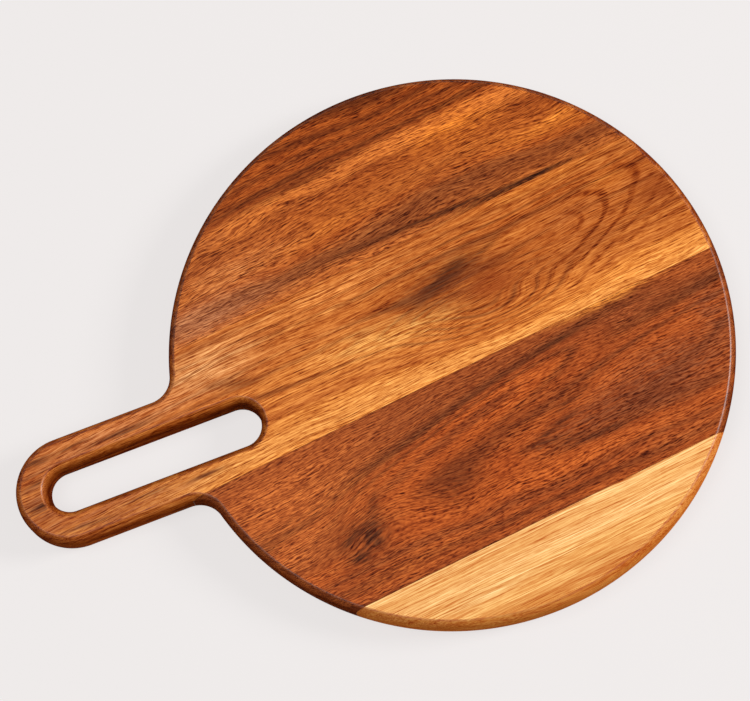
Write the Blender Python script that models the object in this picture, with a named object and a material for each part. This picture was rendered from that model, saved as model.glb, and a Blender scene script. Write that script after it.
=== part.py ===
"""Round wooden cutting board with a slotted handle, edge-glued from four staves.

The staves are sawn blanks, glued edge to edge at a slight skew to the handle. The glued panel is
then routed to its outline, the finger slot is cut through, and every edge is rounded over.
The origin is the centre of the disc on its underside, with the handle along -X and +Z up.
"""

import math

import bmesh
import bpy

# Driving dimensions, in metres
BOARD_DIAMETER = 0.300
BOARD_THICKNESS = 0.022
HANDLE_LENGTH = 0.093  # from the rim of the disc to the tip of the handle
HANDLE_WIDTH = 0.058
HANDLE_BAR = 0.0175  # wood left beside the finger slot
SLOT_LENGTH = 0.118
NECK_FILLET = 0.014
ROUND_OVER_RADIUS = 0.008
ROUND_OVER_RUN = 0.0035  # how far the round-over reaches in from the rim
LEAST_RIM_LAND = 0.001  # upright band that a round-over always leaves on the rim

STAVE_SKEW = math.radians(5.3)  # angle of the glue lines to the handle
SAPWOOD_STAVE_WIDTH = 0.0445  # from the lower rim of the disc to the first glue line
HANDLE_STAVE_WIDTH = 0.0765
NECK_MARGIN = 0.0005  # how far the handle stave's edge clears the handle at the neck
GLUE_LINE = 0.0002
GLUE_CLEARANCE = 0.00005  # on each side of a glue line
SAW_ALLOWANCE = 0.010  # what a blank has to spare on each side before routing

CHORD_ERROR = 0.00002  # how far a facet may stray from its arc
ROUND_OVER_STEPS = 5
ARRIS_ANGLE = math.radians(25)  # edges sharper than this stay crisp in shading

# Values that follow from the driving dimensions
DISC_RADIUS = BOARD_DIAMETER / 2
HANDLE_RADIUS = HANDLE_WIDTH / 2
HANDLE_TIP = DISC_RADIUS + HANDLE_LENGTH
HANDLE_REACH = HANDLE_TIP - HANDLE_RADIUS  # disc centre to the centre of the handle's round end
SLOT_RADIUS = HANDLE_RADIUS - HANDLE_BAR
SLOT_INNER_REACH = HANDLE_REACH - (SLOT_LENGTH - 2 * SLOT_RADIUS)
FILLET_Y = HANDLE_RADIUS + NECK_FILLET
FILLET_X = math.sqrt((DISC_RADIUS + NECK_FILLET) ** 2 - FILLET_Y**2)
NECK_ANGLE = math.atan2(FILLET_Y, FILLET_X)

# Where the glue lines lie, as distances from the disc's centre across the grain
NECK_JOINT = FILLET_X * math.sin(STAVE_SKEW) - (HANDLE_RADIUS + NECK_MARGIN) * math.cos(STAVE_SKEW)
UPPER_JOINT = NECK_JOINT + HANDLE_STAVE_WIDTH
SAPWOOD_JOINT = SAPWOOD_STAVE_WIDTH - DISC_RADIUS
HALF_JOINT = GLUE_LINE / 2 + GLUE_CLEARANCE


def clear_scene():
    for obj in list(bpy.data.objects):
        bpy.data.objects.remove(obj, do_unlink=True)


def wood(name, colour, roughness):
    """A plain oiled-wood or glue finish in one colour."""
    material = bpy.data.materials.new(name)
    material.use_nodes = True
    shader = material.node_tree.nodes["Principled BSDF"]
    shader.inputs["Base Color"].default_value = (*colour, 1)
    shader.inputs["Roughness"].default_value = roughness
    shader.inputs["Metallic"].default_value = 0
    return material


def arc(centre_x, centre_y, radius, start, stop, steps):
    """Points of an arc, both ends included."""
    angles = [start + (stop - start) * i / steps for i in range(steps + 1)]
    return [(centre_x + radius * math.cos(a), centre_y + radius * math.sin(a)) for a in angles]


def steps_for(radius, sweep):
    """How many chords keep an arc of this radius within CHORD_ERROR."""
    return max(4, math.ceil(sweep / (2 * math.acos(1 - CHORD_ERROR / radius))))


def board_outline(inset):
    """The outline of disc, neck fillets and handle, moved in by inset, counter-clockwise."""
    half_disc = math.pi - NECK_ANGLE
    quarter = math.pi / 2
    disc_steps = steps_for(DISC_RADIUS, 2 * half_disc)
    fillet_steps = steps_for(NECK_FILLET, quarter)
    end_steps = steps_for(HANDLE_RADIUS, math.pi)
    fillet = NECK_FILLET + inset
    disc = arc(0, 0, DISC_RADIUS - inset, -half_disc, half_disc, disc_steps)
    upper_neck = arc(-FILLET_X, FILLET_Y, fillet, -NECK_ANGLE, -quarter, fillet_steps)
    end = arc(-HANDLE_REACH, 0, HANDLE_RADIUS - inset, quarter, 3 * quarter, end_steps)
    lower_neck = arc(-FILLET_X, -FILLET_Y, fillet, quarter, NECK_ANGLE, fillet_steps)
    return disc + upper_neck[1:] + end + lower_neck[:-1]


def slot_outline(inset):
    """The finger slot's outline, widened by inset, counter-clockwise."""
    quarter = math.pi / 2
    steps = steps_for(SLOT_RADIUS, math.pi)
    radius = SLOT_RADIUS + inset
    inner = arc(-SLOT_INNER_REACH, 0, radius, -quarter, quarter, steps)
    outer = arc(-HANDLE_REACH, 0, radius, quarter, 3 * quarter, steps)
    return inner + outer


def rim_profile():
    """(inset, height) up the rim: lower round-over, upright land, upper round-over."""
    drop = math.sqrt(2 * ROUND_OVER_RADIUS * ROUND_OVER_RUN - ROUND_OVER_RUN**2)
    drop = min(drop, (BOARD_THICKNESS - LEAST_RIM_LAND) / 2)
    sweep = math.asin(drop / ROUND_OVER_RADIUS)
    upper = []
    for i in range(ROUND_OVER_STEPS + 1):
        angle = sweep * i / ROUND_OVER_STEPS
        inset = ROUND_OVER_RADIUS * (1 - math.cos(angle))
        upper.append((inset, BOARD_THICKNESS - drop + ROUND_OVER_RADIUS * math.sin(angle)))
    lower = [(inset, BOARD_THICKNESS - height) for inset, height in reversed(upper)]
    return lower + upper


def wall(mesh, outline):
    """Rings of vertices up the rim profile with faces between them, as a list of edge loops."""
    rings = []
    for inset, height in rim_profile():
        rings.append([mesh.verts.new((x, y, height)) for x, y in outline(inset)])
    for below, above in zip(rings, rings[1:]):
        count = len(below)
        for i in range(count):
            j = (i + 1) % count
            mesh.faces.new((below[i], below[j], above[j], above[i]))
    return rings


def ring_edges(mesh, ring):
    return [mesh.edges.get((a, b)) for a, b in zip(ring, ring[1:] + ring[:1])]


def routed_panel():
    """The finished outline as one hidden solid: what the router leaves of the glued panel."""
    mesh = bmesh.new()
    rim = wall(mesh, board_outline)
    slot = wall(mesh, slot_outline)
    for level in (0, -1):
        edges = ring_edges(mesh, rim[level]) + ring_edges(mesh, slot[level])
        bmesh.ops.triangle_fill(mesh, edges=edges, use_beauty=True)
    bmesh.ops.recalc_face_normals(mesh, faces=mesh.faces)
    data = bpy.data.meshes.new("routed_panel")
    mesh.to_mesh(data)
    mesh.free()
    data.shade_smooth()
    data.set_sharp_from_angle(angle=ARRIS_ANGLE)
    panel = bpy.data.objects.new("routed_panel", data)
    bpy.context.collection.objects.link(panel)
    panel.hide_render = True
    panel.display_type = "WIRE"
    return panel


def piece(name, left, low, high, material, panel):
    """A blank from left to the far rim and from low to high across the grain, routed to shape."""
    right = DISC_RADIUS + SAW_ALLOWANCE
    bottom = -SAW_ALLOWANCE
    top = BOARD_THICKNESS + SAW_ALLOWANCE
    mesh = bmesh.new()
    bmesh.ops.create_cube(mesh, size=1)
    bmesh.ops.scale(mesh, vec=(right - left, high - low, top - bottom), verts=mesh.verts)
    middle = ((left + right) / 2, (low + high) / 2, (bottom + top) / 2)
    bmesh.ops.translate(mesh, vec=middle, verts=mesh.verts)
    data = bpy.data.meshes.new(name)
    mesh.to_mesh(data)
    mesh.free()
    data.materials.append(material)
    obj = bpy.data.objects.new(name, data)
    obj.rotation_euler.z = STAVE_SKEW
    bpy.context.collection.objects.link(obj)
    routing = obj.modifiers.new("routing", "BOOLEAN")
    routing.operation = "INTERSECT"
    routing.solver = "EXACT"
    routing.object = panel
    return obj


clear_scene()
router = routed_panel()

SAPWOOD = wood("straw_sapwood", (0.78, 0.45, 0.16), 0.42)
DARK_HEART = wood("red_brown_heartwood", (0.25, 0.075, 0.022), 0.38)
GOLDEN_HEART = wood("golden_heartwood", (0.50, 0.18, 0.04), 0.38)
BROWN_HEART = wood("streaked_brown_heartwood", (0.40, 0.13, 0.03), 0.38)
GLUE = wood("amber_wood_glue", (0.22, 0.09, 0.03), 0.5)

# The handle stave is the only long one: the others stop where the neck fillets start
disc_end = -(FILLET_X + SAW_ALLOWANCE)
handle_end = -(HANDLE_TIP + SAW_ALLOWANCE)
lower_side = -(DISC_RADIUS + SAW_ALLOWANCE)
upper_side = DISC_RADIUS + SAW_ALLOWANCE

piece("sapwood_stave", disc_end, lower_side, SAPWOOD_JOINT - HALF_JOINT, SAPWOOD, router)
piece("dark_stave", disc_end, SAPWOOD_JOINT + HALF_JOINT, NECK_JOINT - HALF_JOINT, DARK_HEART, router)
piece("handle_stave", handle_end, NECK_JOINT + HALF_JOINT, UPPER_JOINT - HALF_JOINT, GOLDEN_HEART, router)
piece("upper_stave", disc_end, UPPER_JOINT + HALF_JOINT, upper_side, BROWN_HEART, router)

for joint_name, place in (
    ("sapwood_glue_line", SAPWOOD_JOINT),
    ("neck_glue_line", NECK_JOINT),
    ("upper_glue_line", UPPER_JOINT),
):
    piece(joint_name, disc_end, place - GLUE_LINE / 2, place + GLUE_LINE / 2, GLUE, router)
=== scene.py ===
# %% [markdown]
# # A round cutting board, dressed
#
# The board is four staves of oiled hardwood glued edge to edge, sawn round, with a long finger slot
# routed through its handle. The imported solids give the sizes. This file adds what a camera sees: the
# soft line that the router and the sanding block left on every edge, and the figure of each stave.
#
# Loading the frame comes first, because everything later is measured from it.

# %% Load the frame
import math

import bmesh
import bpy
from mathutils import Matrix, Vector


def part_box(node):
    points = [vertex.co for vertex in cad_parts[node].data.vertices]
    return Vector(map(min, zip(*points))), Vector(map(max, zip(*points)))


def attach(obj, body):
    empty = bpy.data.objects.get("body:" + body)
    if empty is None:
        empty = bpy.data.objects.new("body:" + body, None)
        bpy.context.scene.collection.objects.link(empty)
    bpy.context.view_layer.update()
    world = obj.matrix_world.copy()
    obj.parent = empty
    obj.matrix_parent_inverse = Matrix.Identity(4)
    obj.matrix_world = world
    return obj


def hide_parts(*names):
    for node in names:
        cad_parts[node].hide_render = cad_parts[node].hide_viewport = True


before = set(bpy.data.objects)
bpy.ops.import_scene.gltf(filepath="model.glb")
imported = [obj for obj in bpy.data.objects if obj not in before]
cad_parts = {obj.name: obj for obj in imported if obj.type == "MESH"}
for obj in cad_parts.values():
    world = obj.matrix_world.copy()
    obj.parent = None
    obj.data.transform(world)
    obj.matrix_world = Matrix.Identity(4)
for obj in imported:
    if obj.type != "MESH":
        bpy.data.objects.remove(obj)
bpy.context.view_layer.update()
print("solids in the frame:", ", ".join(sorted(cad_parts)))

# %% [markdown]
# ## Sizes
#
# A maker would measure the blank with a rule before dressing it. The overall sizes come from the
# boxes of the solids. The handle, the slot and the joints don't show in a box, so they are written
# down here in metres, in the same words as in the drawing of the part.

# %% Measure the board
low_corner = Vector([min(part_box(node)[0][axis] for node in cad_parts) for axis in range(3)])
high_corner = Vector([max(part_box(node)[1][axis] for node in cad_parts) for axis in range(3)])
DISC_RADIUS = high_corner.x
THICKNESS = high_corner.z
HANDLE_WIDTH = 0.058
HANDLE_BAR = 0.0175
HANDLE_REACH = -low_corner.x - HANDLE_WIDTH / 2
SLOT_LENGTH = 0.118
SLOT_RADIUS = HANDLE_WIDTH / 2 - HANDLE_BAR
SLOT_INNER_REACH = HANDLE_REACH - SLOT_LENGTH + 2 * SLOT_RADIUS
NECK_FILLET = 0.014
STAVE_SKEW = math.radians(5.3)
print(f"disc {2000 * DISC_RADIUS:.0f} mm across, {1000 * THICKNESS:.0f} mm thick, "
      f"{1000 * (high_corner.x - low_corner.x):.0f} mm long with its handle")

# %% [markdown]
# ## The outline
#
# Seen from above, the board is a disc with a round-ended handle. A small concave arc eases each
# side of the handle into the disc. The outline could be drawn with curve objects, but a list of
# points made from four kinds of arc is easier to repeat at any distance inside the edge, which the
# rounded rim needs. Every call gives the same number of points, so that rings can be joined.

# %% Draw the outline and the slot
FILLET_Y = HANDLE_WIDTH / 2 + NECK_FILLET
FILLET_X = math.sqrt((DISC_RADIUS + NECK_FILLET) ** 2 - FILLET_Y ** 2)
NECK_ANGLE = math.atan2(FILLET_Y, FILLET_X)
QUARTER_TURN = math.pi / 2
DISC_STEPS = 520
FILLET_STEPS = 24
TIP_STEPS = 96
SLOT_STEPS = 64


def arc(centre_x, centre_y, radius, start, end, steps):
    """Points along part of a circle, both ends included."""
    turns = [start + (end - start) * step / steps for step in range(steps + 1)]
    return [(centre_x + radius * math.cos(turn), centre_y + radius * math.sin(turn)) for turn in turns]


def board_outline(inset):
    """The outer edge, moved inwards by inset."""
    disc = arc(0, 0, DISC_RADIUS - inset, NECK_ANGLE - math.pi, math.pi - NECK_ANGLE, DISC_STEPS)
    upper_neck = arc(-FILLET_X, FILLET_Y, NECK_FILLET + inset, -NECK_ANGLE, -QUARTER_TURN, FILLET_STEPS)
    tip = arc(-HANDLE_REACH, 0, HANDLE_WIDTH / 2 - inset, QUARTER_TURN, 3 * QUARTER_TURN, TIP_STEPS)
    lower_neck = arc(-FILLET_X, -FILLET_Y, NECK_FILLET + inset, QUARTER_TURN, NECK_ANGLE, FILLET_STEPS)
    return disc + upper_neck[1:] + tip + lower_neck[:-1]


def slot_outline(inset):
    """The finger slot's edge, moved outwards from the slot by inset."""
    inner = arc(-SLOT_INNER_REACH, 0, SLOT_RADIUS + inset, -QUARTER_TURN, QUARTER_TURN, SLOT_STEPS)
    outer = arc(-HANDLE_REACH, 0, SLOT_RADIUS + inset, QUARTER_TURN, 3 * QUARTER_TURN, SLOT_STEPS)
    return inner + outer


print(f"{len(board_outline(0))} points round the board and {len(slot_outline(0))} round the slot")

# %% [markdown]
# ## The rim
#
# A router bit with an 8 mm radius, set shallow, went round both faces and through the slot. It
# leaves a quarter-round that stops short of the face in a crisp line. On a finished board that line
# is never sharp: sanding breaks it to a radius of about two millimetres, and this is what catches
# the light. A bevel modifier could break it, but here the profile is a list of insets and heights,
# with the small arc worked out so that it touches both the flat face and the large round.

# %% Work out the rim's profile
ROUND_OVER_RADIUS = 0.008
ROUND_OVER_RUN = 0.0035
SANDED_RADIUS = 0.0019
FACE_MARGIN = 0.0006
ROUND_OVER_STEPS = 10
SANDED_STEPS = 6
round_drop = math.sqrt(2 * ROUND_OVER_RADIUS * ROUND_OVER_RUN - ROUND_OVER_RUN ** 2)
sanded_inset = ROUND_OVER_RADIUS - math.sqrt(
    (ROUND_OVER_RADIUS - SANDED_RADIUS) ** 2 - (round_drop - SANDED_RADIUS) ** 2)
meeting_angle = math.atan2(round_drop - SANDED_RADIUS, ROUND_OVER_RADIUS - sanded_inset)


def upper_rim():
    """Pairs of inset and height from the middle of the rim up to the flat face."""
    shoulder = THICKNESS - round_drop
    profile = []
    for step in range(ROUND_OVER_STEPS + 1):
        turn = meeting_angle * step / ROUND_OVER_STEPS
        inset = ROUND_OVER_RADIUS * (1 - math.cos(turn))
        profile.append((inset, shoulder + ROUND_OVER_RADIUS * math.sin(turn)))
    for step in range(1, SANDED_STEPS + 1):
        turn = meeting_angle + (QUARTER_TURN - meeting_angle) * step / SANDED_STEPS
        inset = sanded_inset - SANDED_RADIUS * math.cos(turn)
        profile.append((inset, THICKNESS - SANDED_RADIUS + SANDED_RADIUS * math.sin(turn)))
    return profile + [(sanded_inset + FACE_MARGIN, THICKNESS)]


top_half = upper_rim()
rim_profile = [(inset, THICKNESS - height) for inset, height in reversed(top_half)] + top_half
print(f"{len(rim_profile)} steps up the rim, the face line {1000 * sanded_inset:.2f} mm inside the edge")

# %% [markdown]
# ## The glued panel
#
# The real board was glued up first and shaped afterwards, so each stave's edge lines up with the
# next one's. The mesh is made in the same order: one whole panel, then four staves cut from it. The
# faces between two rings are quads, and each flat face is filled once round the slot.

# %% Build the whole panel
SAME_HEIGHT = 1e-7


def ring_faces(mesh, lower, upper):
    """Quads between two closed rings with the same number of points."""
    count = len(lower)
    for index in range(count):
        following = (index + 1) % count
        mesh.faces.new((lower[index], lower[following], upper[following], upper[index]))


def whole_panel():
    """The shaped panel before it is taken apart into staves, as one closed mesh."""
    mesh = bmesh.new()
    for outline in (board_outline, slot_outline):
        rings = [[mesh.verts.new((x, y, height)) for x, y in outline(inset)]
                 for inset, height in rim_profile]
        for lower, upper in zip(rings, rings[1:]):
            ring_faces(mesh, lower, upper)
    for height in (0.0, THICKNESS):
        rim = [edge for edge in mesh.edges if edge.is_boundary
               and all(abs(vert.co.z - height) < SAME_HEIGHT for vert in edge.verts)]
        bmesh.ops.triangle_fill(mesh, use_beauty=True, edges=rim)
    bmesh.ops.recalc_face_normals(mesh, faces=mesh.faces)
    return mesh


panel = whole_panel()
print(f"panel of {len(panel.faces)} faces, {panel.calc_volume() * 1e6:.0f} cubic centimetres")

# %% [markdown]
# ## Cutting along the joints
#
# The saw cut the disc at a slight angle to the glue lines, so the joints run 5.3 degrees off the
# handle. Each piece is the panel between two parallel planes across the grain. A Boolean would do,
# but cutting the mesh with a plane and filling the cut keeps the tidy rings of the rim.

# %% Cut one piece from the panel
GRAIN = Vector((math.cos(STAVE_SKEW), math.sin(STAVE_SKEW), 0))
ACROSS = Vector((-math.sin(STAVE_SKEW), math.cos(STAVE_SKEW), 0))
BEYOND = 1.0
CUT_TOLERANCE = 1e-8
CRISP_ANGLE = math.radians(30)


def cut_piece(name, low, high):
    """The part of the panel between two distances across the grain, as a closed object."""
    mesh = panel.copy()
    for distance, keep_above in ((low, True), (high, False)):
        if abs(distance) == BEYOND:
            continue
        everything = list(mesh.verts) + list(mesh.edges) + list(mesh.faces)
        cut = bmesh.ops.bisect_plane(mesh, geom=everything, dist=CUT_TOLERANCE, plane_co=distance * ACROSS,
                                     plane_no=ACROSS, clear_inner=keep_above, clear_outer=not keep_above)
        edges = [item for item in cut["geom_cut"] if isinstance(item, bmesh.types.BMEdge)]
        bmesh.ops.triangle_fill(mesh, use_beauty=True, edges=edges)
    bmesh.ops.recalc_face_normals(mesh, faces=mesh.faces)
    open_edges = sum(not edge.is_manifold for edge in mesh.edges)
    data = bpy.data.meshes.new(name)
    mesh.to_mesh(data)
    mesh.free()
    data.shade_smooth()
    data.set_sharp_from_angle(angle=CRISP_ANGLE)
    piece = bpy.data.objects.new(name, data)
    bpy.context.scene.collection.objects.link(piece)
    print(f"{name}: {len(data.polygons)} faces, {open_edges} open edges")
    return piece


print(f"joints run {math.degrees(STAVE_SKEW):.1f} degrees off the handle")

# %% [markdown]
# ## Four staves and three glue lines
#
# The first joint lies a set distance in from the lower rim. The second one just clears the lower
# corner of the neck, so that the whole handle is one stave, and the third follows from the width of
# that stave. A hair of air between wood and glue keeps the faces of neighbours from lying in each
# other.

# %% Saw the staves and squeeze the glue
SAPWOOD_STAVE_WIDTH = 0.0445
HANDLE_STAVE_WIDTH = 0.0765
NECK_MARGIN = 0.0005
GLUE_HALF = 0.00005
GLUE_AIR = 0.00002
neck_corner = Vector((-FILLET_X, -FILLET_Y, 0)) + NECK_FILLET * Vector((0, 1, 0))
SAPWOOD_JOINT = -DISC_RADIUS + SAPWOOD_STAVE_WIDTH
NECK_JOINT = neck_corner.dot(ACROSS) - NECK_MARGIN
UPPER_JOINT = NECK_JOINT + HANDLE_STAVE_WIDTH
wood_edge = GLUE_HALF + GLUE_AIR
sapwood = cut_piece("sapwood_board", -BEYOND, SAPWOOD_JOINT - wood_edge)
dark = cut_piece("dark_board", SAPWOOD_JOINT + wood_edge, NECK_JOINT - wood_edge)
handle = cut_piece("handle_board", NECK_JOINT + wood_edge, UPPER_JOINT - wood_edge)
upper = cut_piece("upper_board", UPPER_JOINT + wood_edge, BEYOND)
glue_lines = [cut_piece(name + "_film", joint - GLUE_HALF, joint + GLUE_HALF) for name, joint in
              (("sapwood_glue", SAPWOOD_JOINT), ("neck_glue", NECK_JOINT), ("upper_glue", UPPER_JOINT))]
panel.free()

# %% [markdown]
# ## A bench for shader nodes
#
# The wood is all procedural, and it takes many small nodes: sums, noises and mixes. Placing them by
# hand in the shader editor would be slow to repeat four times. A small class that adds one node per
# call and returns its output socket lets the recipe read like arithmetic.

# %% Nodes for arithmetic


class Bench:
    """Adds nodes to one material and hands back their output sockets."""

    def __init__(self, material):
        material.use_nodes = True
        self.tree = material.node_tree
        self.tree.nodes.clear()

    def node(self, kind, **settings):
        made = self.tree.nodes.new(kind)
        for setting, value in settings.items():
            setattr(made, setting, value)
        return made

    def feed(self, socket, value):
        """Link the value if it is a socket, and otherwise set it as a plain number or colour."""
        if isinstance(value, bpy.types.NodeSocket):
            self.tree.links.new(value, socket)
        else:
            socket.default_value = value

    def math(self, operation, first, second=0.0, third=0.0, clamp=False):
        made = self.node("ShaderNodeMath", operation=operation, use_clamp=clamp)
        for socket, value in zip(made.inputs, (first, second, third)):
            self.feed(socket, value)
        return made.outputs[0]

    def vector(self, operation, first, second):
        made = self.node("ShaderNodeVectorMath", operation=operation)
        self.feed(made.inputs[0], first)
        self.feed(made.inputs[1], second)
        return made.outputs["Value" if operation in ("DOT_PRODUCT", "LENGTH") else "Vector"]

    def place(self, along, across, depth):
        made = self.node("ShaderNodeCombineXYZ")
        for socket, value in zip(made.inputs, (along, across, depth)):
            self.feed(socket, value)
        return made.outputs[0]

    def span(self, value, low, high, first=0.0, last=1.0, soft=True):
        """The value's way from low to high, turned into a way from first to last."""
        made = self.node("ShaderNodeMapRange", interpolation_type="SMOOTHSTEP" if soft else "LINEAR")
        for socket, item in zip(made.inputs, (value, low, high, first, last)):
            self.feed(socket, item)
        return made.outputs[0]

    def show(self, shader):
        output = self.node("ShaderNodeOutputMaterial")
        self.feed(output.inputs["Surface"], shader.outputs[0])


print("bench ready for sums and ranges")

# %% [markdown]
# ## Patterns and paint
#
# A finish also needs noise, colour bands and mixed colours. A shader works with linear values, which
# nobody can judge by eye. So colours are written as a painter reads them off a screen, from 0 to 255,
# and turned into linear ones here.

# %% Nodes for patterns and colours
SOFT_KNEE = 0.04045


def linear(red, green, blue):
    """A colour written in display values from 0 to 255, as the shader wants it."""
    channels = [value / 255 for value in (red, green, blue)]
    return tuple(value / 12.92 if value <= SOFT_KNEE else ((value + 0.055) / 1.055) ** 2.4
                 for value in channels) + (1.0,)


class FinishBench(Bench):
    """A bench that also makes noise, bands and mixed colours."""

    def noise(self, where, detail=2.0, roughness=0.5):
        made = self.node("ShaderNodeTexNoise")
        self.feed(made.inputs["Vector"], where)
        made.inputs["Scale"].default_value = 1.0
        made.inputs["Detail"].default_value = detail
        made.inputs["Roughness"].default_value = roughness
        return made.outputs[0]

    def blend(self, factor, under, over, kind="MIX"):
        """One colour over another; inputs 6 and 7 and output 2 are the Mix node's colour sockets."""
        made = self.node("ShaderNodeMix", data_type="RGBA", blend_type=kind)
        self.feed(made.inputs[0], factor)
        self.feed(made.inputs[6], under)
        self.feed(made.inputs[7], over)
        return made.outputs[2]

    def ramp(self, value, stops):
        """A band of colours from pairs of position and colour."""
        made = self.node("ShaderNodeValToRGB")
        elements = made.color_ramp.elements
        while len(elements) < len(stops):
            elements.new(0.5)
        for element, (position, colour) in zip(elements, stops):
            element.position = position
            element.color = colour
        self.feed(made.inputs[0], value)
        return made.outputs[0]


print("a mid grey of 128 is", round(linear(128, 128, 128)[0], 3), "to the shader")

# %% [markdown]
# ## Along the grain
#
# Every mark in wood is longer along the grain than across it. The board's coordinates are turned so
# that one axis runs along the grain, and counted in millimetres, so that a pattern can be given a
# length and a width as a maker would measure it. Depth takes part too, so the rim and the underside
# show the same wood from another side. An image wrapped round the board couldn't do that.

# %% Coordinates along the grain
MILLIMETRES = 1000
TOP = MILLIMETRES * THICKNESS


class Grain:
    """Places on the board along the grain, across it and above the underside, in millimetres."""

    def __init__(self, bench):
        self.bench = bench
        turned = bench.node("ShaderNodeMapping")
        bench.feed(turned.inputs["Vector"], bench.node("ShaderNodeTexCoord").outputs["Object"])
        turned.inputs["Rotation"].default_value = (0, 0, -STAVE_SKEW)
        turned.inputs["Scale"].default_value = (MILLIMETRES, MILLIMETRES, MILLIMETRES)
        split = bench.node("ShaderNodeSeparateXYZ")
        bench.feed(split.inputs[0], turned.outputs[0])
        self.where = turned.outputs[0]
        self.along, self.across, self.depth = split.outputs

    def stretched(self, across, length, width):
        """Coordinates for a pattern that is length long and width wide."""
        sizes = ((self.along, length), (across, width), (self.depth, width))
        return self.bench.place(*(self.bench.math("DIVIDE", value, size) for value, size in sizes))

    def pattern(self, across, size, stretch=1.0):
        """A noise along the grain, of a size that lists length, width, detail and roughness."""
        length, width, detail, roughness = size
        return self.bench.noise(self.stretched(across, length * stretch, width), detail, roughness)


print(f"the upper face lies at {TOP:.0f} mm")

# %% [markdown]
# ## Hills
#
# Knots, stains and the swell of a growth ring all begin at one place and fade with distance. One
# smooth hump serves for all of them. It could be a gradient texture, but a power of the squared
# distance needs only three nodes and may be long, narrow and turned. A spot lists its place on the
# face, how far it reaches along and across, and, where it needs one, a turn.

# %% Humps that fade with distance


def from_centre(grain, reach_down, x, y, reach_x, reach_y, turn=0.0):
    """Position as seen from a spot on the upper face, counted in reaches."""
    made = grain.bench.node("ShaderNodeMapping", vector_type="TEXTURE")
    grain.bench.feed(made.inputs["Vector"], grain.where)
    made.inputs["Location"].default_value = (x, y, TOP)
    made.inputs["Rotation"].default_value = (0, 0, math.radians(turn))
    made.inputs["Scale"].default_value = (reach_x, reach_y, reach_down)
    return made.outputs[0]


def hill(grain, reach_down, *spot):
    """A smooth hump that is 1 at its centre and fades over its reach."""
    near = from_centre(grain, reach_down, *spot)
    return grain.bench.math("POWER", math.exp(-1), grain.bench.vector("DOT_PRODUCT", near, near))


print(f"one reach from its centre a hill is {math.exp(-1):.2f} high")

# %% [markdown]
# ## How the fibres flow
#
# Fibres are never quite straight. They sway slowly along the log, lean where a branch once pushed
# them, and part round a knot. The shader keeps one number for this, the flow, which is the distance
# across the grain after all these pushes. Whatever is drawn along the flow bends with it. Bending the
# mesh instead would bend the board's outline too.

# %% Let the fibres sway
SLOW_BENDS = (150, 40, 2.0, 0.5)
QUICK_BENDS = (34, 8, 2.0, 0.5)
QUICK_SHARE = 0.22
KNOT_DEPTH = 20


def wandering(grain, across, bends, sway):
    """The distance across the grain, pushed to and fro by a slow noise."""
    push = grain.bench.math("MULTIPLY_ADD", grain.pattern(across, bends), sway, -sway / 2)
    return grain.bench.math("ADD", across, push)


def fibre_flow(grain, recipe):
    """The distance across the grain after the fibres have swayed, leaned and parted."""
    bench = grain.bench
    flow = wandering(grain, grain.across, SLOW_BENDS, recipe["sway"])
    flow = wandering(grain, flow, QUICK_BENDS, recipe["sway"] * QUICK_SHARE)
    for *spot, height in recipe["leans"]:
        flow = bench.math("MULTIPLY_ADD", hill(grain, KNOT_DEPTH, *spot), height, flow)
    for x, y, reach_x, reach_y, parting in recipe["knots"]:
        hump = hill(grain, KNOT_DEPTH, x, y, reach_x, reach_y)
        away = bench.math("MULTIPLY", bench.math("SUBTRACT", grain.across, y), -parting)
        flow = bench.math("MULTIPLY_ADD", hump, away, flow)
    return flow


print(f"fibres sway over {SLOW_BENDS[0]} mm and again over {QUICK_BENDS[0]} mm")

# %% [markdown]
# ## Marks along the fibres
#
# Close up, oiled wood shows narrow streaks, a fine fibre and a grit of cut cells. On much of this
# board there is also a regular hatch, the ends of fibres that the plane lifted, row behind row. The
# first three are noises of different sizes. The hatch is a sine across the flow, because noise alone
# looks too loose beside it.

# %% Streaks, fibre, grit and hatch
NARROW_STREAKS = (26, 1.2, 3.0, 0.6)
FIBRES = (6.5, 0.5, 1.5, 0.6)
GRIT = (3.4, 0.42, 1.0, 0.5)
HATCH_DRIFT = (5, 0.9, 1.0, 0.5)
HATCH_STEP = 1.5
HATCH_WANDER = 12.0


def fibre_marks(grain, flow, stretch):
    """The marks that follow the fibres, by name; stretch lengthens them along the grain."""
    bench = grain.bench
    per_step = 2 * math.pi / HATCH_STEP
    drift = grain.pattern(flow, HATCH_DRIFT, stretch)
    rows = bench.math("MULTIPLY_ADD", drift, HATCH_WANDER, bench.math("MULTIPLY", flow, per_step))
    return {"narrow": grain.pattern(flow, NARROW_STREAKS, stretch),
            "fibre": grain.pattern(flow, FIBRES, stretch),
            "grit": grain.pattern(flow, GRIT),
            "hatch": bench.math("SINE", bench.math("MULTIPLY_ADD", grain.depth, per_step, rows))}


print(f"fibres {FIBRES[1]} mm wide, a hatch every {HATCH_STEP} mm")

# %% [markdown]
# ## Growth rings
#
# A stave's colours follow its growth rings, and the rings are curved sheets in the log. The ring is
# the flow, tilted with depth. Where a hill is added to it, its lines bend round the hill, and where
# the hill is steep they close into the pointed loops that sawyers call cathedrals. A little of the
# narrow streaks frays the border between two bands, and two longer marks follow the rings: broad
# streaks, and dark lines as thin as hairs.

# %% Grow the rings
HILL_DEPTH = 26
BROAD_STREAKS = (90, 4.5, 3.0, 0.55)
DARK_HAIRS = (56, 1.4, 2.5, 0.55)


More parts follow.
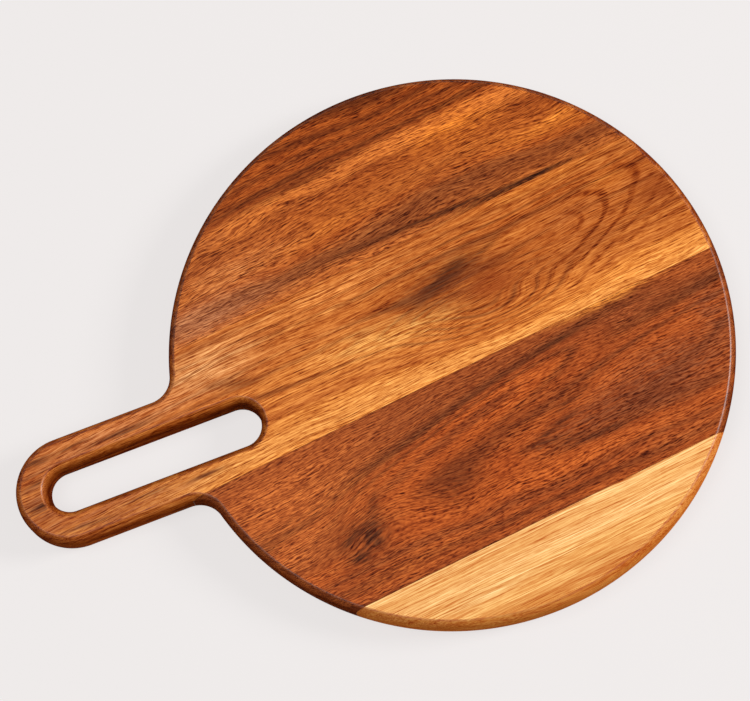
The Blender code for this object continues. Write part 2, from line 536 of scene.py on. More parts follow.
def growth_ring(grain, flow, narrow, recipe):
    """Which ring a place lies in, in millimetres across the stave."""
    bench = grain.bench
    below = bench.math("SUBTRACT", grain.depth, TOP)
    ring = bench.math("MULTIPLY_ADD", below, recipe["tilt"], flow)
    for *spot, height in recipe["hills"]:
        ring = bench.math("MULTIPLY_ADD", hill(grain, HILL_DEPTH, *spot), height, ring)
    frayed = bench.math("MULTIPLY_ADD", narrow, recipe["fray"], ring)
    return bench.math("SUBTRACT", frayed, recipe["fray"] / 2)


def ring_marks(grain, ring):
    """The marks that follow the rings, by name."""
    return {"broad": grain.pattern(ring, BROAD_STREAKS), "hair": grain.pattern(ring, DARK_HAIRS)}


print(f"streaks {BROAD_STREAKS[0]} mm long and hairs {DARK_HAIRS[1]} mm wide follow the rings")

# %% [markdown]
# ## Bands and stains
#
# The rings take their colour from a list of bands. Sap and minerals left stains on top, which don't
# keep to the rings. Each stain is a hill of one colour. Its border is made ragged with the streaks
# and fibres, because dye creeps along them, and a clean oval would look airbrushed. One pale patch
# on the upper stave is laid in the same way, and it is a painted sheen, not a stain.

# %% Colour the bands and lay the stains
STAIN_DEPTH = 18
FIBRE_SUM = (0.8, 1.2)
RAGGED = (0.4, 1.4)


def banded(bench, ring, bands):
    """The colour of each ring, from pairs of ring and colour."""
    first, last = bands[0][0], bands[-1][0]
    stops = [((at - first) / (last - first), linear(*colour)) for at, colour in bands]
    return bench.ramp(bench.span(ring, first, last, soft=False), stops)


def stained(grain, colour, marks, stains):
    """The colour with its stains, laid one over another in the order of the list."""
    bench = grain.bench
    ragged = bench.span(bench.math("ADD", marks["narrow"], marks["fibre"]), *FIBRE_SUM, *RAGGED)
    for *spot, stain, strength in stains:
        spread = bench.math("MULTIPLY", hill(grain, STAIN_DEPTH, *spot), ragged)
        share = bench.math("MULTIPLY", spread, strength, clamp=True)
        colour = bench.blend(share, colour, linear(*stain))
    return colour


print(f"stains reach {STAIN_DEPTH} mm down into the wood")

# %% [markdown]
# ## Pores
#
# The saw cuts the wood's vessels open, and each shows as a short dark dash. Dots from a noise would
# run together. The cells of a Voronoi texture, stretched along the flow, keep one dash each, and
# each cell's random colour decides whether its dash shows at all.

# %% Open the pores
PORE_SIZES = ((4.8, 0.46, 0.36, 1.0), (3.0, 0.36, 0.42, 0.8))
PORE_CORE = 0.3
PORE_FADE = 0.3


def pores(grain, flow, share, stretch):
    """Dashes in two sizes; share is how many of them show."""
    bench = grain.bench
    found = None
    for length, width, size, strength in PORE_SIZES:
        cells = bench.node("ShaderNodeTexVoronoi")
        bench.feed(cells.inputs["Vector"], grain.stretched(flow, length * stretch, width))
        cells.inputs["Scale"].default_value = 1.0
        chance = bench.node("ShaderNodeSeparateColor")
        bench.feed(chance.inputs[0], cells.outputs["Color"])
        dash = bench.span(cells.outputs["Distance"], size, size * PORE_CORE)
        open_here = bench.span(chance.outputs[0], 1.0 - share, 1.0 + PORE_FADE - share, 0.0, strength)
        mark = bench.math("MULTIPLY", dash, open_here)
        found = mark if found is None else bench.math("MAXIMUM", found, mark)
    return found


print(f"pores {PORE_SIZES[1][0]} to {PORE_SIZES[0][0]} mm long")

# %% [markdown]
# ## Growth lines
#
# Where the saw ran almost along a ring, single growth lines stand out and close in long loops. They
# could come from the rings as well, but then every loop would move when a band is changed. So each
# loop has a centre of its own, with lines at even steps round it, and shows only on its patch. A
# slow bend keeps the lines from looking drawn with a compass, and the fibres wear gaps in them.

# %% Draw loops of growth lines
LOOP_DEPTH = 40
PATCH_DEPTH = 30
LOOP_BENDS = (60, 16, 1.0, 0.5)
LOOP_WANDER = 6.0
LINE_CREST = (0.4, 1.0)
WORN_SUM = (0.8, 1.15)
WORN = (0.4, 1.0)


def growth_lines(grain, bend, loop, patch):
    """Dark lines at even steps round a centre, seen only on a patch of the stave."""
    bench = grain.bench
    *spot, count = loop
    near = from_centre(grain, LOOP_DEPTH, *spot)
    steps = bench.math("MULTIPLY", bench.vector("LENGTH", near, near), count * 2 * math.pi)
    waves = bench.math("SINE", bench.math("MULTIPLY_ADD", bend, LOOP_WANDER, steps))
    return bench.math("MULTIPLY", bench.span(waves, *LINE_CREST), hill(grain, PATCH_DEPTH, *patch))


def with_loops(grain, tone, marks, loops):
    """The tone, darkened along each loop's growth lines."""
    bench = grain.bench
    bend = grain.pattern(grain.across, LOOP_BENDS)
    worn = bench.span(bench.math("ADD", marks["narrow"], marks["fibre"]), *WORN_SUM, *WORN)
    for loop, patch, strength in loops:
        lines = bench.math("MULTIPLY", growth_lines(grain, bend, loop, patch), worn)
        tone = bench.math("MULTIPLY_ADD", lines, -strength, tone)
    return tone


print(f"growth lines bend over {LOOP_BENDS[0]} mm")

# %% [markdown]
# ## Light and dark on the face
#
# All the fine marks change how dark the oiled wood looks, so they are added up in one number, the
# tone, before any colour is touched. Mixing each mark as a colour would take many more nodes and
# turn grey. The hatch comes and goes along the board: the broad streaks decide how much of it shows.

# %% Add the marks up to a tone
NOISE_MIDDLE = (0.34, 0.66)
HAIR_CREST = (0.53, 0.65)
HATCH_MIDDLE = (0.36, 0.64)
HATCH_FAINT = 0.55
HATCH_CLEAR = 1.45


def face_tone(grain, marks, pore, recipe):
    """How light the wood is: 1 on plain wood, less in pores and dark lines."""
    bench = grain.bench
    tone = bench.math("MULTIPLY_ADD", pore, -recipe["pore_depth"], 1.0)
    for mark, amount in (("broad", "streak"), ("narrow", "line"), ("fibre", "fibre"), ("grit", "grit")):
        contrast = recipe[amount]
        tone = bench.math("ADD", tone, bench.span(marks[mark], *NOISE_MIDDLE, -contrast, contrast))
    tone = bench.math("SUBTRACT", tone, bench.span(marks["hair"], *HAIR_CREST, 0.0, recipe["hair"]))
    showing = bench.span(marks["broad"], *HATCH_MIDDLE, HATCH_FAINT * recipe["hatch"],
                         HATCH_CLEAR * recipe["hatch"])
    tone = bench.math("MULTIPLY_ADD", marks["hatch"], showing, tone)
    return with_loops(grain, tone, marks, recipe["loops"])


print(f"the hatch shows at {HATCH_FAINT} to {HATCH_CLEAR} of its strength")

# %% [markdown]
# ## Zones of the rim
#
# The sanded arris, the routed round, the upright middle of the rim and its end grain each look
# different. They could be painted by hand, but that would have to be redone for every stave. The
# surface's normal tells them apart: how far it leans from upright, and how far it points along the
# grain.

# %% Find the zones of the rim
ARRIS_BEGINS = (0.995, 0.95)
ARRIS_ENDS = (0.70, 0.82)
ROUTED = (0.998, 0.97)
UPRIGHT = (0.88, 0.15)


def rim_zones(bench):
    """How much of a point lies on the sanded arris, the routed round, the upright rim and end grain."""
    normal = bench.node("ShaderNodeTexCoord").outputs["Normal"]
    flat = bench.math("ABSOLUTE", bench.vector("DOT_PRODUCT", normal, (0, 0, 1)))
    arris = bench.math("MULTIPLY", bench.span(flat, *ARRIS_BEGINS), bench.span(flat, *ARRIS_ENDS))
    routed = bench.span(flat, *ROUTED)
    along_grain = bench.math("ABSOLUTE", bench.vector("DOT_PRODUCT", normal, tuple(GRAIN)))
    end_grain = bench.math("MULTIPLY", bench.math("POWER", along_grain, 2.0), routed)
    return {"arris": arris, "routed": routed, "upright": bench.span(flat, *UPRIGHT), "end_grain": end_grain}


print(f"the routed zone begins where the normal's height falls below {ROUTED[0]}")

# %% [markdown]
# ## Oil
#
# The routed rim drinks more oil than the planed face, so it turns darker and redder, and its streaks
# show more. Its colour is also partly painted shade. On top of that, the upright middle of the rim is
# multiplied by a darker colour, which is painted shade where the rim turns away from the lamps. The
# open ends of the fibres drink most. Oil also deepens dark marks, and it does so most in blue and least
# in red, which one multiplied grey couldn't show. So the tone is raised to a power for each of the three.

# %% Oil the face and the rim, and paint shade on the rim
# share of the routed rim that takes the rim colour, which is partly oil and partly painted shade
RIM_OIL_AND_SHADE_SHARE = 0.8
RIM_STREAKS = (0.40, 0.60)
DARKEST_TONE = 0.08


def oil_tint(bench, tone, powers):
    """Oil darkens blue most and red least, so dark streaks turn redder and pale ones yellower."""
    held = bench.math("MAXIMUM", tone, DARKEST_TONE)
    return bench.place(*(bench.math("POWER", held, power) for power in powers))


def oiled(bench, colour, tone, broad, zones, recipe):
    """The colour of face and rim after oiling, with painted shade on the routed and upright rim."""
    # the rim colour: partly oil darkening, partly painted shade
    rim_oil_and_shade_share = bench.math("MULTIPLY", zones["routed"], RIM_OIL_AND_SHADE_SHARE)
    colour = bench.blend(rim_oil_and_shade_share, colour, linear(*recipe["rim"]))
    rim_streak = bench.span(broad, *RIM_STREAKS, -recipe["rim_streak"], recipe["rim_streak"])
    tone = bench.math("MULTIPLY_ADD", rim_streak, zones["routed"], tone)
    colour = bench.vector("MULTIPLY", colour, oil_tint(bench, tone, recipe["oil"]))
    # painted shade: the upright rim is multiplied by the recipe's darker edge colour
    colour = bench.blend(zones["upright"], colour, linear(*recipe["edge"]), "MULTIPLY")
    return bench.blend(zones["end_grain"], colour, linear(*recipe["end"]), "MULTIPLY")


print(f"the rim's own colour covers {100 * RIM_OIL_AND_SHADE_SHARE:.0f} percent of it")

# %% [markdown]
# ## Film and fibres
#
# What gloss an oiled board has is a thin film of hardened oil, polished by hands on the arris and
# gone on the upright rim. At a grazing angle a real film breaks up in the fibres, and this one fades
# there. A slight bump raises the fibres and sinks the pores. It is kept low on the rim, which is
# sanded smoother. Fibres cut into the mesh would need millions of faces.

# %% Oil film and raised fibres
FACE_FILM = 0.05
ARRIS_FILM = 0.46
GRAZING = (0.7, 0.35)
FACE_BUMP = 0.36
RIM_BUMP_LOSS = 0.3
FIBRE_HEIGHT = 0.05
PORE_SINK = 0.10
BUMP_DISTANCE = 0.001


def oil_film(bench, arris, upright):
    """How much hardened oil lies on the wood."""
    film = bench.math("MULTIPLY_ADD", arris, ARRIS_FILM, FACE_FILM)
    film = bench.math("MULTIPLY_ADD", upright, -FACE_FILM, film, clamp=True)
    facing = bench.node("ShaderNodeLayerWeight").outputs["Facing"]
    return bench.math("MULTIPLY", film, bench.span(facing, *GRAZING))


def raised_fibres(bench, fibre, pore, routed):
    """A low bump with the fibres up and the pores down."""
    bump = bench.node("ShaderNodeBump")
    bench.feed(bump.inputs["Strength"], bench.math("MULTIPLY_ADD", routed, -RIM_BUMP_LOSS, FACE_BUMP))
    bump.inputs["Distance"].default_value = BUMP_DISTANCE
    raised = bench.math("MULTIPLY", fibre, FIBRE_HEIGHT)
    bench.feed(bump.inputs["Height"], bench.math("MULTIPLY_ADD", pore, -PORE_SINK, raised))
    return bump.outputs[0]


print(f"film of {FACE_FILM} on the face and {FACE_FILM + ARRIS_FILM:.2f} on the arris")

# %% [markdown]
# ## The surface
#
# Under the film, bare oiled wood is dull, a little rougher in its pores and dry on the upright rim.
# The film could be a second shader mixed in, but the coat of the one shader does the same. Its
# roughness and index are the same everywhere, so they are plain numbers.

# %% Dull wood under a film
BARE_GLOSS = 0.006
FACE_ROUGHNESS = 0.42
FIBRE_ROUGHNESS = 0.16
PORE_ROUGHNESS = 0.2
UPRIGHT_ROUGHNESS = 0.4
FILM_ROUGHNESS = 0.44
FILM_INDEX = 1.9


def surface(bench, colour, fibre, pore, zones):
    """An oiled surface: dull on the face, polished on the arris, dry on the upright rim."""
    shader = bench.node("ShaderNodeBsdfPrincipled")
    bench.feed(shader.inputs["Base Color"], colour)
    rough = bench.math("MULTIPLY_ADD", fibre, FIBRE_ROUGHNESS, FACE_ROUGHNESS)
    rough = bench.math("MULTIPLY_ADD", pore, PORE_ROUGHNESS, rough)
    rough = bench.math("MULTIPLY_ADD", zones["upright"], UPRIGHT_ROUGHNESS, rough, clamp=True)
    bench.feed(shader.inputs["Roughness"], rough)
    shader.inputs["Specular IOR Level"].default_value = BARE_GLOSS
    bench.feed(shader.inputs["Coat Weight"], oil_film(bench, zones["arris"], zones["upright"]))
    shader.inputs["Coat Roughness"].default_value = FILM_ROUGHNESS
    shader.inputs["Coat IOR"].default_value = FILM_INDEX
    bench.feed(shader.inputs["Normal"], raised_fibres(bench, fibre, pore, zones["routed"]))
    bench.show(shader)


print(f"roughness {FACE_ROUGHNESS} on the face, up to {FACE_ROUGHNESS + UPRIGHT_ROUGHNESS:.2f} on the rim")

# %% [markdown]
# ## One wood from one recipe
#
# All four staves are grown in the same way and differ only in their recipe, so one function puts the
# steps together. In a recipe, places and reaches are millimetres along and across the grain, counted
# from the middle of the disc, and turns are degrees. A material with its colours written into the
# function would have to be copied four times.
#
# - bands: a ring and its colour
# - hills: the spot where the rings swell, and how high
# - leans and knots: the spot, and how far the fibres are pushed aside or parted
# - loops: the spot and count of growth lines, the patch that shows them, and their strength
# - stains: the spot, the colour and the strength
# - sway, tilt, fray and length: the run of the fibres and how long their marks are
# - streak to hatch: the contrast of each mark; pores: the share that is open, and how dark they are
# - oil: how strongly the tone acts on red, green and blue; rim, edge and end: colours of the rim, where rim
#   is partly painted shade and edge is painted shade on the upright rim

# %% Put a wood together


def wood(name, recipe):
    """The whole material of a stave."""
    material = bpy.data.materials.new(name)
    bench = FinishBench(material)
    grain = Grain(bench)
    flow = fibre_flow(grain, recipe)
    marks = fibre_marks(grain, flow, recipe["length"])
    ring = growth_ring(grain, flow, marks["narrow"], recipe)
    marks.update(ring_marks(grain, ring))
    pore = pores(grain, flow, recipe["pores"], recipe["length"])
    colour = stained(grain, banded(bench, ring, recipe["bands"]), marks, recipe["stains"])
    tone = face_tone(grain, marks, pore, recipe)
    zones = rim_zones(bench)
    colour = oiled(bench, colour, tone, marks["broad"], zones, recipe)
    surface(bench, colour, marks["fibre"], pore, zones)
    print(f"{name}: {len(bench.tree.nodes)} nodes, {len(recipe['bands'])} bands, "
          f"{len(recipe['stains'])} stains")
    return material


print("one wood, four recipes to come")

# %% [markdown]
# ## The sapwood stave
#
# The pale stave at the near edge comes from the outside of the log. It is straw coloured and even,
# with thin honey streaks, and its fibres are drawn out the longest of the four. A few broader arcs
# near its rim show where the saw ran almost along a ring. One low hill and one loop make them.

# %% Sapwood
sapwood_recipe = {
    "bands": [(-156, (206, 120, 48)), (-149, (236, 158, 80)), (-144, (248, 178, 100)),
              (-139, (218, 136, 62)), (-133, (246, 176, 98)), (-126, (240, 168, 90)),
              (-119, (254, 192, 118)), (-112, (244, 174, 98)), (-104, (252, 190, 116))],
    "hills": [(18, -152, 46, 14, 0, 10)],
    "leans": [],
    "knots": [],
    "loops": [((34, -154, 70, 22, 0, 5), (24, -137, 38, 9, -4), 0.26)],
    "stains": [(30, -142, 30, 4, -4, (212, 128, 58), 0.55), (18, -136, 22, 1.6, -6, (206, 122, 50), 0.7),
               (-45, -128, 30, 4, 2, (255, 202, 132), 0.5)],
    "sway": 6.0, "tilt": 0.9, "fray": 5.0, "length": 4.0,
    "streak": 0.1, "line": 0.14, "fibre": 0.28, "grit": 0.1, "hair": 0.22, "hatch": 0.2,
    "pores": 0.2, "pore_depth": 0.25, "oil": (0.42, 1.0, 1.5),
    # rim is partly painted shade; edge is painted shade on the upright rim
    "rim": (200, 116, 44), "rim_streak": 0.1, "edge": (236, 222, 200), "end": (236, 214, 190),
}
sapwood_wood = wood("straw_sapwood_oiled", sapwood_recipe)

# %% [markdown]
# ## The dark stave
#
# Red-brown heartwood from near the middle of the log. Two long, steep hills bend its rings, which rise
# from the left and close towards the right, where the wood is smooth and brown. A small knot sits at
# the left: a parting of the fibres with a few dark stains in it. Thin slanted stains draw the V that
# points at it from the right, and the pores are many.

# %% Dark heartwood
dark_recipe = {
    "bands": [(-115, (150, 70, 32)), (-106, (140, 64, 28)), (-102, (172, 80, 32)), (-98, (126, 57, 25)),
              (-95, (174, 80, 32)), (-92.5, (138, 63, 28)), (-89, (188, 88, 34)), (-84, (184, 86, 33)),
              (-80, (126, 58, 26)), (-76, (170, 78, 31)), (-70, (164, 77, 32)), (-65, (122, 58, 26)),
              (-59, (108, 52, 25)), (-54, (128, 62, 29)), (-47, (150, 73, 33)), (-42, (178, 88, 38)),
              (-36, (164, 80, 35)), (-30, (182, 91, 40)), (-22, (168, 82, 36)), (-16, (150, 72, 32)),
              (-11, (138, 65, 29))],
    "hills": [(13, -36, 115, 11, 10.8, -46), (145, -40, 149, 17, 7.8, -42)],
    "leans": [(-68, -62, 26, 22, -7), (60, -40, 100, 40, -6)],
    "knots": [(-85, -75, 16, 12, 0.2), (-31, -70, 14, 12, 0.2)],
    "loops": [((-84, -72, 30, 22, 20, 5), (-74, -69, 24, 17, 20), 0.26),
              ((34, -68, 54, 22, 2, 6), (6, -68, 32, 15, 4), 0.24)],
    "stains": [(-114, -46, 46, 28, 0, (200, 103, 45), 0.8), (-30, -25, 44, 9, 6, (138, 66, 32), 0.6),
               (34, -21, 50, 8, 0, (132, 62, 30), 0.5), (0, -48, 50, 7, 10, (182, 84, 32), 0.5),
               (96, -64, 44, 18, 0, (136, 69, 39), 0.8), (54, -68, 34, 8, 0, (132, 66, 37), 0.7),
               (92, -27, 34, 7, 2, (164, 80, 38), 0.7), (-78, -96, 44, 7, 0, (186, 91, 36), 0.5),
               (-3, -70, 11, 9, 0, (174, 76, 28), 0.6), (-116, -66, 18, 12, 0, (198, 102, 46), 0.7),
               (-31, -69, 12, 11, 0, (112, 50, 22), 0.75), (25, -72, 15, 2.4, -12, (104, 48, 24), 1.3),
               (48, -78, 20, 1.8, -3, (104, 48, 24), 1.2), (27, -65.5, 14, 1.9, 13, (104, 48, 24), 1.2),
               (43, -55, 12, 2.2, 14, (104, 48, 24), 0.85), (50, -24, 12, 1.5, 4, (78, 38, 20), 0.8),
               (-86, -74, 18, 13, 20, (118, 55, 26), 0.75), (-84, -72, 9, 7, 20, (92, 44, 23), 0.7),
               (-82, -73, 5, 4, 40, (66, 32, 19), 0.7), (-92, -70, 6, 3, 30, (92, 44, 22), 0.7),
               (-75, -61, 9, 3, 58, (98, 46, 23), 0.7), (-92, -82, 5, 3, -20, (80, 39, 21), 0.8),
               (-80, -79, 3, 2, 0, (80, 39, 21), 0.7), (-116, -53, 16, 2, 0, (112, 53, 25), 0.5),
               (88, -96, 22, 8, 0, (176, 88, 40), 0.5), (132, -45, 10, 16, 0, (134, 70, 42), 0.6),
               (82, -15, 24, 2.4, 0, (232, 142, 58), 1.0)],
    "sway": 14.0, "tilt": 1.1, "fray": 4.0, "length": 0.95,
    "streak": 0.05, "line": 0.05, "fibre": 0.2, "grit": 0.28, "hair": 0.16, "hatch": 0.41,
    "pores": 0.85, "pore_depth": 0.34, "oil": (0.75, 1.05, 1.1),
    # rim is partly painted shade; edge is painted shade on the upright rim
    "rim": (136, 66, 27), "rim_streak": 0.26, "edge": (190, 168, 140), "end": (248, 242, 234),
}
dark_wood = wood("red_brown_heartwood_oiled", dark_recipe)

# %% [markdown]
# ## The handle stave
#
# The golden stave carries the handle. A pale streak runs along its lower joint from end to end, as
# the lowest of its bands. On the right a long loop of growth lines comes to a point, and where it
# begins there is a dark, flame-shaped stain. Thin dark stains mark the handle beside the slot.

# %% Golden heartwood
handle_recipe = {
    "bands": [(-17, (236, 142, 60)), (-12, (246, 160, 78)), (-5, (244, 156, 74)), (0, (228, 136, 58)),
              (4, (196, 104, 42)), (8, (222, 128, 54)), (10.7, (190, 100, 40)), (13, (226, 132, 56)),
              (18, (218, 124, 52)), (20.9, (152, 76, 30)), (23, (212, 118, 48)), (27, (216, 122, 50)),
              (28.7, (168, 86, 34)), (31, (210, 116, 46)), (33.5, (204, 110, 44)), (35.2, (138, 68, 27)),
              (37, (204, 110, 44)), (42, (210, 116, 46)), (44.5, (190, 100, 40)), (46.5, (132, 64, 26)),
              (48.5, (196, 104, 42)), (51, (206, 112, 45)), (52.2, (146, 73, 29)), (54, (206, 112, 45)),
              (58, (168, 86, 34)), (61, (208, 114, 46)), (64, (172, 88, 35)), (70, (200, 108, 43)),
              (76, (190, 101, 40))],
    "hills": [(36.6, 19.8, 99.5, 4.9, 1.0, 20), (28.1, 9, 41.6, 12.8, -4, 42.6)],
    "leans": [],
    "knots": [(12, 34, 26, 12, 0.3)],
    "loops": [((54, 25, 83, 21.5, 12, 4), (112, 37, 40, 18, 11), 0.72),
              ((54, 25, 83, 21.5, 12, 4), (86, 12, 34, 9, 14), 0.6)],
    "stains": [(92, 30, 46, 15, 10, (192, 102, 42), 0.9), (-28, 18, 36, 8, -6, (246, 164, 80), 0.75),
               (-118, 46, 26, 10, 0, (242, 166, 100), 0.85), (-114, 33, 15, 3, -20, (126, 63, 27), 0.8),
               (-180, 38, 52, 7, 0, (220, 135, 78), 0.8), (-195, -4, 50, 10, 0, (174, 95, 53), 0.9),
               (-228, 18, 14, 16, 0, (158, 86, 48), 0.7), (100, -6, 56, 6, 0, (240, 144, 60), 0.7),
               (34, 21, 16, 9, 0, (166, 77, 28), 0.95), (11, 32, 28, 10, 4, (122, 58, 28), 0.9),
               (12, 33.5, 16, 5, 14, (100, 48, 24), 0.9), (5, 31, 9, 2.6, 14, (86, 41, 20), 0.7),
               (20, 37, 8, 2.8, 6, (84, 40, 19), 0.75), (37, 38, 12, 1.6, 18, (118, 58, 25), 0.7),
               (-12, 31, 14, 2.2, -12, (118, 59, 27), 0.7), (90, 37, 14, 4, 0, (168, 88, 40), 0.5),
               (115, 44, 11, 4.5, 0, (228, 130, 50), 0.5), (136, 26, 16, 18, 0, (156, 72, 27), 0.75),
               (84, 58, 34, 2.6, 0, (228, 132, 52), 0.7), (-40, 54, 60, 6, 0, (232, 138, 64), 0.8),
               (90, 15, 32, 7, 4, (174, 90, 37), 0.75), (-62, 44, 40, 4.5, 0, (222, 130, 58), 0.8),
               (-72, 35, 36, 4, 0, (220, 128, 58), 0.7), (-224, 40, 10, 1.7, -4, (98, 50, 27), 1.0),
               (-229, 17, 9, 1.8, 4, (98, 50, 27), 1.0), (-176, 34.5, 17, 1.4, -4, (112, 58, 30), 1.0),
               (-203, 39.5, 10, 1.2, 0, (112, 58, 30), 0.9), (-177, -2, 13, 1.2, -2, (112, 58, 31), 0.8),
               (-210, -2.7, 14, 1.2, -7, (112, 58, 31), 0.8), (-146, -6, 11, 1.2, -5, (128, 68, 34), 0.9),
               (-227, 30, 8, 1.3, 0, (120, 64, 34), 0.9)],
    "sway": 12.0, "tilt": 1.0, "fray": 2.5, "length": 2.3,
    "streak": 0.1, "line": 0.1, "fibre": 0.32, "grit": 0.22, "hair": 0.32, "hatch": 0.29,
    "pores": 0.5, "pore_depth": 0.5, "oil": (0.62, 1.05, 1.45),
    # rim is partly painted shade; edge is painted shade on the upright rim and slot walls
    "rim": (182, 95, 32), "rim_streak": 0.3, "edge": (178, 150, 114), "end": (180, 150, 122),
}
handle_wood = wood("golden_heartwood_oiled", handle_recipe)

# %% [markdown]
# ## The upper stave
#
# Brown and orange bands lie close together here, with dark wavy streaks towards the far rim and a
# light streak that bends upwards at the right. The strongest sway of the four keeps the many bands
# from looking ruled, and a dark thin stain follows part of the joint. A pale greyish patch at the far
# left is a painted sheen.

# %% Streaked heartwood
upper_recipe = {
    "bands": [(58, (210, 116, 50)), (64, (202, 108, 46)), (68, (172, 90, 40)), (72, (150, 77, 36)),
              (76, (152, 79, 37)), (80, (182, 88, 32)), (85, (197, 102, 36)), (92, (186, 93, 34)),
              (98, (176, 86, 32)), (102, (160, 76, 29)), (106, (214, 116, 48)), (112, (226, 124, 52)),
              (116, (168, 78, 28)), (119, (118, 54, 21)), (123, (176, 83, 29)), (128, (134, 61, 23)),
              (132, (190, 92, 32)), (137, (118, 52, 19)), (142, (178, 83, 28)), (147, (98, 44, 17)),
              (152, (140, 62, 22))],
    "hills": [(60, 100, 70, 30, 0, -5), (112, 92, 34, 12, 0, 6), (30, 138, 40, 12, 0, 6)],
    "leans": [],
    "knots": [],
    "loops": [((48, 144, 70, 22, 10, 5), (24, 134, 52, 11, 4), 0.32)],
    # the second entry, pale and greyish at the far left, is a painted sheen, not a stain
    "stains": [(108, 88, 24, 3, 8, (236, 134, 50), 0.8), (-110, 71, 32, 10, 0, (192, 119, 77), 0.75),
               (-85, 88, 34, 8, 0, (208, 124, 68), 0.6), (90, 70, 54, 8, 0, (142, 66, 25), 0.5),
               (30, 138, 34, 9, 0, (128, 56, 19), 0.4), (72, 62.8, 30, 1.5, 0, (58, 26, 14), 1.2),
               (30, 66.5, 40, 1.8, -4, (84, 39, 19), 1.0), (-14, 69, 24, 1.2, -3, (96, 45, 22), 0.8),
               (55, 108, 24, 8, 0, (230, 124, 41), 0.7), (-30, 117, 50, 3, 2, (116, 52, 20), 0.7),
               (25, 90, 50, 8, 0, (170, 87, 37), 0.6), (-94, 108, 22, 6, 4, (168, 86, 40), 0.75)],
    "sway": 18.0, "tilt": 0.8, "fray": 6.0, "length": 1.2,
    "streak": 0.08, "line": 0.1, "fibre": 0.3, "grit": 0.28, "hair": 0.36, "hatch": 0.35,
    "pores": 0.75, "pore_depth": 0.48, "oil": (0.75, 1.05, 1.1),
    # rim is partly painted shade; edge is painted shade on the upright rim
    "rim": (136, 66, 25), "rim_streak": 0.26, "edge": (190, 168, 140), "end": (226, 208, 190),
}
upper_wood = wood("streaked_brown_heartwood_oiled", upper_recipe)

# %% [markdown]
# ## Glue lines
#
# Wood glue dries amber and hard. Squeezed to a tenth of a millimetre it shows only as the fine dark
# line between two staves. It could borrow the wood's finish, but it has no fibre, so it gets one of its
# own: a soft gloss, and a colour that varies where more glue was left.

# %% Amber glue
GLUE_BEADS = (14, 3, 3.0, 0.6)
GLUE_COLOURS = ((0.3, (62, 31, 12)), (0.5, (84, 44, 17)), (0.7, (110, 60, 24)))
GLUE_GLOSS = 0.06
THIN_TO_THICK = (0.3, 0.7)
GLUE_ROUGHNESS = (0.45, 0.65)


def amber_glue():
    """Dried glue, darker where it is thin."""
    material = bpy.data.materials.new("amber_wood_glue_dried")
    bench = FinishBench(material)
    grain = Grain(bench)
    beads = grain.pattern(grain.across, GLUE_BEADS)
    colour = bench.ramp(beads, [(at, linear(*amber)) for at, amber in GLUE_COLOURS])
    shader = bench.node("ShaderNodeBsdfPrincipled")
    bench.feed(shader.inputs["Base Color"], colour)
    bench.feed(shader.inputs["Roughness"], bench.span(beads, *THIN_TO_THICK, *GLUE_ROUGHNESS))
    shader.inputs["Specular IOR Level"].default_value = GLUE_GLOSS
    bench.show(shader)
    print(f"{material.name}: {len(bench.tree.nodes)} nodes")
    return material


glue = amber_glue()

# %% [markdown]
# ## Putting the pieces on the frame
#
# Nothing on this board moves, so every piece rides on the one body. Each piece stands for the solid
# of the same stave or glue line.

# %% Ride on the frame
dressed = [(sapwood, "sapwood_stave", "straw_sapwood", sapwood_wood),
           (dark, "dark_stave", "red_brown_heartwood", dark_wood),
           (handle, "handle_stave", "golden_heartwood", handle_wood),
           (upper, "upper_stave", "streaked_brown_heartwood", upper_wood)]
for film, node in zip(glue_lines, ("sapwood_glue_line", "neck_glue_line", "upper_glue_line")):
    dressed.append((film, node, "amber_wood_glue", glue))
for piece, node, slot, material in dressed:
    piece.data.materials.append(material)
    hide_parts(node)
    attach(piece, "root")
print(f"{len(dressed)} pieces ride on root")

# %% [markdown]
# ## The floor
#
# The board lies on a plain pale floor, which is stage and not part of it. A floor lit like the board
# would come out grey, and more light would bleach the wood. So to a camera or in a reflection, which
# the light path tells apart, most of the floor shows its own colour unlit. The rest takes light as
# usual and keeps the board's shadow.

# %% Pale floor
FLOOR_HALF = 4
FLOOR_COLOUR = linear(240, 236, 235)
BACKGROUND_SHARE = 0.82
corners = [(x * FLOOR_HALF, y * FLOOR_HALF, 0) for x, y in ((-1, -1), (1, -1), (1, 1), (-1, 1))]
floor_data = bpy.data.meshes.new("floor")
floor_data.from_pydata(corners, [], [(0, 1, 2, 3)])
floor = bpy.data.objects.new("floor", floor_data)
bpy.context.scene.collection.objects.link(floor)
floor_paint = bpy.data.materials.new("pale_floor")
floor_bench = Bench(floor_paint)
floor_matt = floor_bench.node("ShaderNodeBsdfDiffuse")
floor_matt.inputs["Color"].default_value = FLOOR_COLOUR
floor_glow = floor_bench.node("ShaderNodeEmission")
floor_glow.inputs["Color"].default_value = FLOOR_COLOUR
floor_glow.inputs["Strength"].default_value = 1.0
ray = floor_bench.node("ShaderNodeLightPath")
seen = floor_bench.math("MAXIMUM", ray.outputs["Is Camera Ray"], ray.outputs["Is Glossy Ray"])
seen = floor_bench.math("MAXIMUM", seen, ray.outputs["Is Transmission Ray"])
floor_mix = floor_bench.node("ShaderNodeMixShader")
floor_bench.feed(floor_mix.inputs[0], floor_bench.math("MULTIPLY", seen, BACKGROUND_SHARE))
floor_bench.feed(floor_mix.inputs[1], floor_matt.outputs[0])
floor_bench.feed(floor_mix.inputs[2], floor_glow.outputs[0])
floor_bench.show(floor_mix)
floor_data.materials.append(floor_paint)
print(f"floor {2 * FLOOR_HALF} m square, {100 * BACKGROUND_SHARE:.0f} percent its own colour")

# %% [markdown]
# ## Light
#
# A lamp low on the right draws the thin bright line along the right-hand edge. A larger one high on
# the left lights the face, and a dim even world keeps the near rim readable. Together they light a
# flat face at a level where a colour renders about as it is written. A sun lamp would be simpler,
# but its shadows are too hard for a studio.

# %% Lamps and world
ROOM_STRENGTH = 0.15


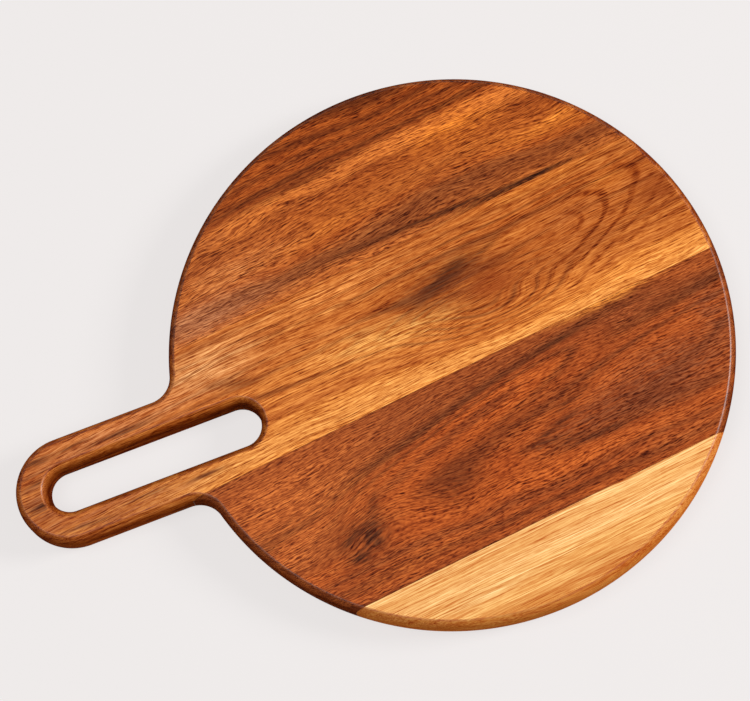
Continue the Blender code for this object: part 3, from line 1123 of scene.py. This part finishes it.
def soft_lamp(name, place, size, watts):
    """A square lamp that points at the middle of the board."""
    data = bpy.data.lights.new(name, "AREA")
    data.shape = "SQUARE"
    data.size = size
    data.energy = watts
    lamp = bpy.data.objects.new(name, data)
    lamp.location = place
    lamp.rotation_euler = (-Vector(place)).to_track_quat("-Z", "Y").to_euler()
    bpy.context.scene.collection.objects.link(lamp)
    print(f"{name}: {watts} W, {size} m square")


soft_lamp("right_lamp", place=(2.5, -0.5, 1.5), size=0.9, watts=80.0)
soft_lamp("top_lamp", place=(-1.0, 0.1, 2.8), size=1.6, watts=40.0)
world = bpy.data.worlds.new("even_room")
world.use_nodes = True
room = world.node_tree.nodes["Background"]
room.inputs["Color"].default_value = (1, 1, 1, 1)
room.inputs["Strength"].default_value = ROOM_STRENGTH
bpy.context.scene.world = world
bpy.context.scene.view_settings.view_transform = "Standard"

# %% [markdown]
# ## Camera
#
# The photograph looks almost straight down, with the handle at the lower left. The camera's three
# axes come from three turns: the board turned on the table, the camera tilted from the horizon, and
# the picture rolled a little. A Track To constraint could aim it, but wouldn't give the roll. The
# lens is long, so the disc stays nearly round.

# %% Camera
PICTURE_WIDTH = 750
FOCAL_PIXELS = 2600
SENSOR_WIDTH = 36.0
TURN, TILT, ROLL = (math.radians(angle) for angle in (9.03, 75.0, -12.0))
BOARD_IN_CAMERA = Vector((0.0409, 0.00198, 1.39055))
turned = Matrix.Rotation(TURN, 3, "Z")
tilted = Matrix(((1, 0, 0), (0, -math.sin(TILT), -math.cos(TILT)), (0, math.cos(TILT), -math.sin(TILT))))
view = Matrix.Rotation(ROLL, 3, "Z") @ tilted @ turned
camera_data = bpy.data.cameras.new("photo_camera")
camera_data.sensor_width = SENSOR_WIDTH
camera_data.lens = SENSOR_WIDTH * FOCAL_PIXELS / PICTURE_WIDTH
camera = bpy.data.objects.new("photo_camera", camera_data)
axes = Matrix((view[0], -view[1], -view[2])).transposed()
camera.matrix_world = Matrix.Translation(-(view.transposed() @ BOARD_IN_CAMERA)) @ axes.to_4x4()
bpy.context.scene.collection.objects.link(camera)
bpy.context.scene.camera = camera
print("camera at", tuple(round(value, 3) for value in camera.matrix_world.translation),
      f"with a {camera_data.lens:.1f} mm lens")
